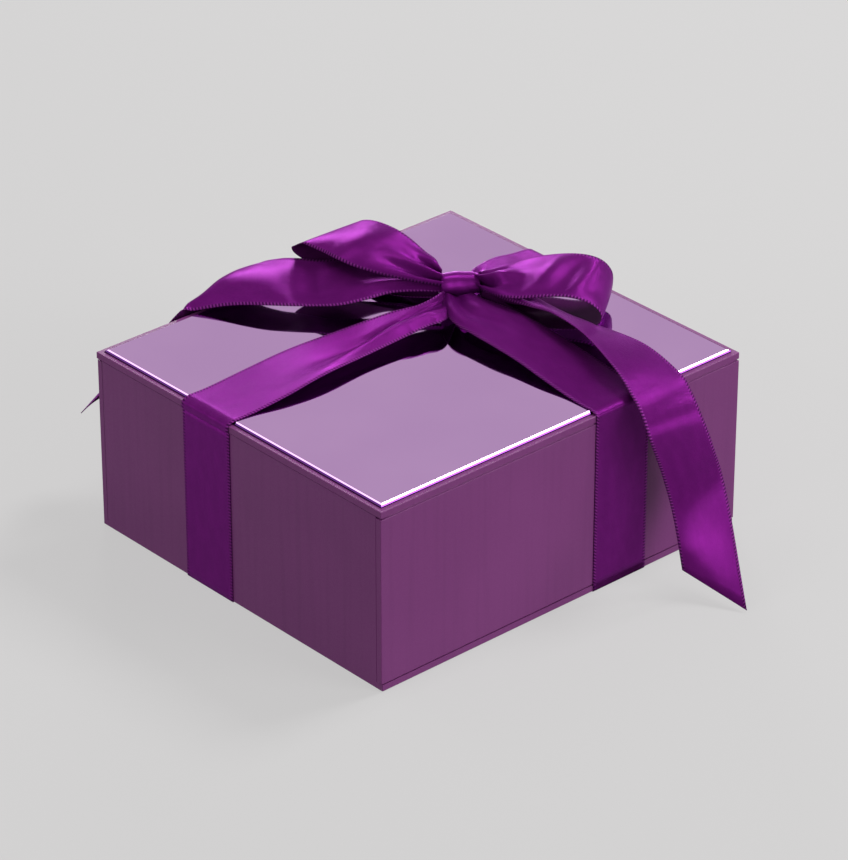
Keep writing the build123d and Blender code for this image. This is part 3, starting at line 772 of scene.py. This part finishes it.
# The lengths of ribbon under the box, with the lip that turns up in front of the base
UNDER = 0.2
CROSSING_UNDER = UNDER + 0.02
under_rows = {
    "ribbon_under_cloth": [
        front_row(y, z, BACK_BAND)
        for y, z in (
            (-FRONT_FACE, 2.9),
            (-FRONT_FACE, 0.6),
            (-FRONT_FACE + 0.6, UNDER),
            (-FRONT_FACE + 2.0, UNDER),
            (-FRONT_FACE + 8.0, UNDER),
            (-30.0, UNDER),
            (30.0, UNDER),
            (FRONT_FACE, UNDER),
        )
    ],
    "ribbon_under_crossing_cloth": [
        side_row(-SIDE_FACE, CROSSING_UNDER, LEFT_BAND),
        side_row(-30.0, CROSSING_UNDER, (4.2, 29.2)),
        side_row(30.0, CROSSING_UNDER, (5.3, 30.3)),
        side_row(SIDE_FACE, CROSSING_UNDER, RIGHT_BAND),
    ],
}
for name, rows in under_rows.items():
    under = lay_ribbon(name, rows)
    declare(under, rows, "stretched", ["case_cover"], "ribbon_under")
    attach(under, "box")

# The paper that hinges the lid and the flap: a strip pressed into each fold groove
FOLD_LOW, FOLD_HIGH = 67.0, 68.4
FOLD_DEPTH = 0.55
FOLD_SEAT = 0.12
FOLD_INSET = 0.6
PAPER_THICKNESS = 0.15


def fold_strip(name, edge_y, inward, *bodies):
    """A strip of wrapping paper along a fold, dished into the groove between two boards."""

    def shape(mesh):
        bmesh.ops.create_grid(mesh, x_segments=40, y_segments=12, size=0.5)
        for vert in mesh.verts:
            along, up = vert.co.x * 2, vert.co.y + 0.5
            dish = FOLD_DEPTH * sin(pi * up) ** 2 + FOLD_SEAT
            height = FOLD_LOW + (FOLD_HIGH - FOLD_LOW) * up
            vert.co = Vector((along * (SIDE - FOLD_INSET), edge_y + inward * dish, height)) * MM

    strip = new_piece(name, shape, PLUM)
    thicken(strip, PAPER_THICKNESS)
    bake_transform(strip)


fold_strip("flap_fold_paper", -HALF_DEPTH, 1, "lid", "flap")
fold_strip("lid_fold_paper", HALF_DEPTH, -1, "lid", "box")


# The floor, the light and the camera


STUDIO_GREY = (0.672, 0.665, 0.665, 1)
FLOOR_GREY = (0.140, 0.139, 0.139, 1)
FLOOR_GLOW = 0.74
FLOOR_REACH = 6.0
SHADOW_FILL = 0.55


def paint_floor():
    """A pale floor that shows the same grey to the camera and to mirrors, less the object's shadow."""
    finish = Finish("pale_floor")
    rays = finish.tree.nodes.new("ShaderNodeLightPath")
    seen = Value(finish, rays.outputs["Is Camera Ray"]) + Value(finish, rays.outputs["Is Glossy Ray"])
    seen = seen + Value(finish, rays.outputs["Is Transmission Ray"])
    matt = finish.node("ShaderNodeBsdfDiffuse", {}, Color=FLOOR_GREY)
    glow = finish.node("ShaderNodeEmission", {}, Color=STUDIO_GREY, Strength=seen * FLOOR_GLOW)
    return finish.output(finish.node("ShaderNodeAddShader", {}, matt, glow))


def lay_floor(mesh):
    bmesh.ops.create_grid(mesh, x_segments=1, y_segments=1, size=FLOOR_REACH)


new_piece("floor", lay_floor, paint_floor())


def shine(name, spot, aim_height, size, energy):
    """A square soft light, in metres and watts, that points at a height over the middle of the box."""
    lamp = bpy.data.lights.new(name, "AREA")
    lamp.size, lamp.energy = size, energy
    light = bpy.data.objects.new(name, lamp)
    light.location = spot
    light.rotation_euler = (Vector((0, 0, aim_height)) - Vector(spot)).to_track_quat("-Z", "Y").to_euler()
    bpy.context.scene.collection.objects.link(light)


shine("softbox_right", (0.97, -0.17, 1.34), 0.05, 0.5, 17)
shine("softbox_front", (0.7, -1.6, 0.60), 0.05, 0.9, 18)
shine("softbox_left", (-1.6, 0.1, 0.70), 0.05, 0.9, 5.5)
shine("softbox_back", (-0.14, 0.98, 1.19), 0.07, 0.4, 0.9)
shine("softbox_low", (0.93, 1.23, 0.48), 0.07, 0.35, 7.5)


def hang_backdrop():
    """A grey world, which fills the shadows with less light than it shows to the camera and to mirrors."""
    world = bpy.data.worlds.new("studio")
    bpy.context.scene.world = world
    world.use_nodes = True
    studio = world.node_tree
    backdrop = studio.nodes["Background"]
    backdrop.inputs["Color"].default_value = STUDIO_GREY
    rays = studio.nodes.new("ShaderNodeLightPath")
    seen = studio.nodes.new("ShaderNodeMath")
    seen.operation = "MAXIMUM"
    level = studio.nodes.new("ShaderNodeMapRange")
    level.inputs["To Min"].default_value = SHADOW_FILL
    studio.links.new(rays.outputs["Is Camera Ray"], seen.inputs[0])
    studio.links.new(rays.outputs["Is Glossy Ray"], seen.inputs[1])
    studio.links.new(seen.outputs[0], level.inputs["Value"])
    studio.links.new(level.outputs["Result"], backdrop.inputs["Strength"])


hang_backdrop()

# The camera stands where the photograph's did
AZIMUTH, ELEVATION = radians(-41.883), radians(29.131)
DISTANCE, OFFSET_RIGHT, OFFSET_UP = 1616.88, 2.171, 34.115
FOCAL_PIXELS, LONG_SIDE, SENSOR = 4479.8, 860, 36.0
back = Vector((sin(AZIMUTH) * cos(ELEVATION), -cos(AZIMUTH) * cos(ELEVATION), sin(ELEVATION)))
right = Vector((cos(AZIMUTH), sin(AZIMUTH), 0))
lens = bpy.data.cameras.new("camera")
lens.sensor_width = SENSOR
lens.lens = FOCAL_PIXELS * SENSOR / LONG_SIDE
camera = bpy.data.objects.new("camera", lens)
camera.location = (back * DISTANCE + right * OFFSET_RIGHT + back.cross(right) * OFFSET_UP) * MM
camera.rotation_euler = (-back).to_track_quat("-Z", "Y").to_euler()
bpy.context.scene.collection.objects.link(camera)
bpy.context.scene.camera = camera
bpy.context.scene.view_settings.view_transform = "Standard"
